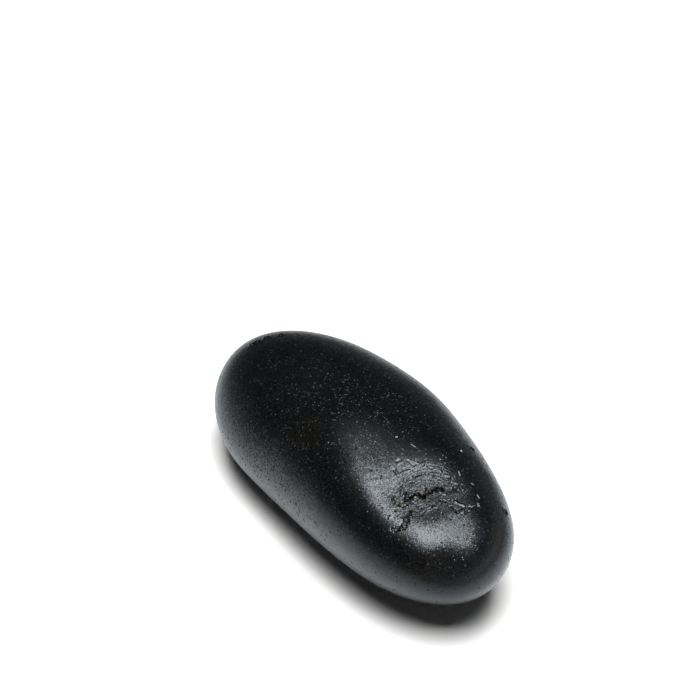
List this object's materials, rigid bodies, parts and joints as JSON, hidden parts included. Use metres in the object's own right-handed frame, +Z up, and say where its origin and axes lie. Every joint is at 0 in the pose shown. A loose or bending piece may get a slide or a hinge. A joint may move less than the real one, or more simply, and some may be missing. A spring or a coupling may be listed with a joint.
{
  "type": "massage stone",
  "caption": "Smooth egg-shaped black basalt stone with a crusted fissure near one end, lying on a worn flat, warmed or cooled and held in the hand for massage.",
  "frame": {"origin": "centre of the stone's box at its lowest face, where it rests", "axes": "+X along the stone towards the scarred near tip, +Y across it towards the back, +Z up out of the crown"},
  "size_m": [0.1152, 0.054, 0.0406],
  "materials": {
    "basalt": "satin, tumbled and oiled",
    "ochre_crust": "rough, crumbly",
    "feldspar": "glassy"
  },
  "bodies": {
    "root": {"stone_body": "basalt", "fissure_crust": "ochre_crust", "hook_crust": "ochre_crust", "side_crust": "ochre_crust", "crown_lath": "feldspar", "upper_lath": "feldspar", "right_lath": "feldspar", "low_lath": "feldspar", "crown_grain": "feldspar", "back_grain": "feldspar"}
  },
  "joints": []
}
